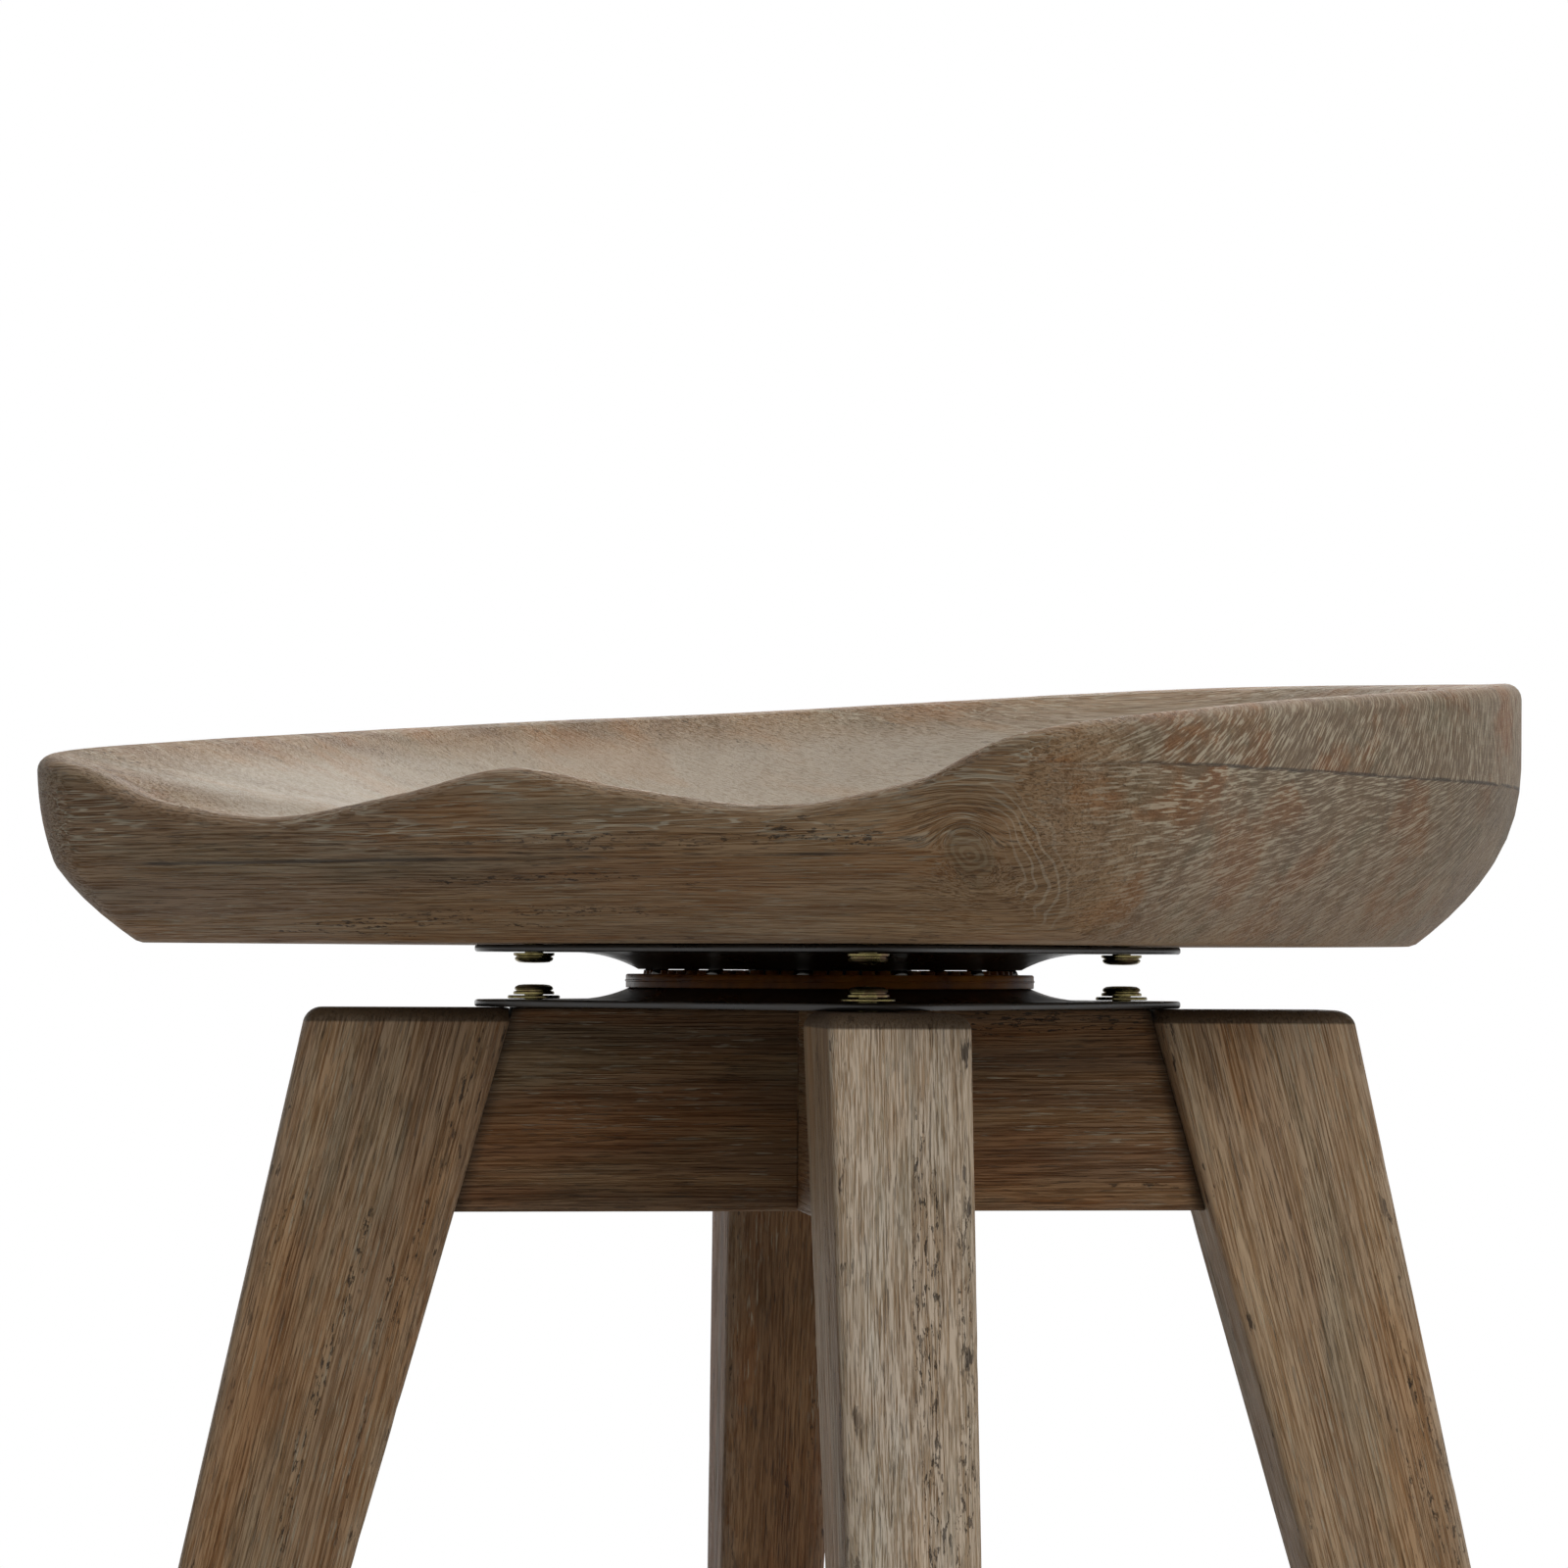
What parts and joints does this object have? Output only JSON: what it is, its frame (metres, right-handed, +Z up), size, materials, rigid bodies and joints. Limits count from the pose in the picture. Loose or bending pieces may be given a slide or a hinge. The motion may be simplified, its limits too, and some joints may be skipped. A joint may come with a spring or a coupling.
{
  "type": "swivel counter stool",
  "caption": "Backless wooden counter stool: a carved saddle seat turns on a ball-bearing swivel plate over splayed tapered legs with cross rails and a footrest frame.",
  "frame": {"origin": "on the floor under the swivel's axis, the centre of the object's footprint", "axes": "+Z up along the swivel's axis, +X to the sitter's left, the straight front edge of the seat faces -Y"},
  "size_m": [0.45, 0.4236, 0.6708],
  "materials": {
    "wood": "wire-brushed grey-brown stain with limed pores",
    "dowel_wood": "plain beech dowel",
    "black_steel": "black enamel, satin",
    "amber_nylon": "amber nylon, slightly greased",
    "ball_steel": "polished bearing steel",
    "zinc": "yellow zinc plating",
    "nylon": "black nylon"
  },
  "bodies": {
    "base": {"swivel_lower_plate": "black_steel", "centre_eyelet": "black_steel", "base_screw_front_right": "zinc", "base_screw_back_right": "zinc", "base_screw_back_left": "zinc", "base_screw_front_left": "zinc", "washer_front_right": "zinc", "washer_back_right": "zinc", "washer_back_left": "zinc", "washer_front_left": "zinc", "cross_rail_notched_above": "wood", "cross_rail_notched_below": "wood", "leg_front_right": "wood", "leg_back_right": "wood", "leg_back_left": "wood", "leg_front_left": "wood", "rail_dowel_front_right_1": "dowel_wood", "rail_dowel_front_right_2": "dowel_wood", "rail_dowel_back_right_1": "dowel_wood", "rail_dowel_back_right_2": "dowel_wood", "rail_dowel_back_left_1": "dowel_wood", "rail_dowel_back_left_2": "dowel_wood", "rail_dowel_front_left_1": "dowel_wood", "rail_dowel_front_left_2": "dowel_wood", "stretcher_front": "wood", "stretcher_right": "wood", "stretcher_back": "wood", "stretcher_left": "wood", "stretcher_dowel_front_1": "dowel_wood", "stretcher_dowel_front_2": "dowel_wood", "stretcher_dowel_right_1": "dowel_wood", "stretcher_dowel_right_2": "dowel_wood", "stretcher_dowel_back_1": "dowel_wood", "stretcher_dowel_back_2": "dowel_wood", "stretcher_dowel_left_1": "dowel_wood", "stretcher_dowel_left_2": "dowel_wood", "glide_front_right": "nylon", "glide_back_right": "nylon", "glide_back_left": "nylon", "glide_front_left": "nylon"},
    "turning_seat": {"seat": "wood", "swivel_upper_plate": "black_steel", "seat_screw_front_right": "zinc", "seat_screw_back_right": "zinc", "seat_screw_back_left": "zinc", "seat_screw_front_left": "zinc"},
    "ball_cage_ring": {"ball_cage": "amber_nylon", "ball_01": "ball_steel", "ball_02": "ball_steel", "ball_03": "ball_steel", "ball_04": "ball_steel", "ball_05": "ball_steel", "ball_06": "ball_steel", "ball_07": "ball_steel", "ball_08": "ball_steel", "ball_09": "ball_steel", "ball_10": "ball_steel", "ball_11": "ball_steel", "ball_12": "ball_steel"}
  },
  "joints": [
    {"name": "seat_swivel", "type": "hinge", "parent": "base", "child": "turning_seat", "pos_m": [0, 0, 0.5606], "axis": [0, 0, 1], "continuous": true},
    {"name": "cage_roll", "type": "hinge", "parent": "base", "child": "ball_cage_ring", "pos_m": [0, 0, 0.5606], "axis": [0, 0, 1], "continuous": true}
  ],
  "couplings": [
    {"joint": "cage_roll", "follows": "seat_swivel", "ratio": 0.5}
  ]
}
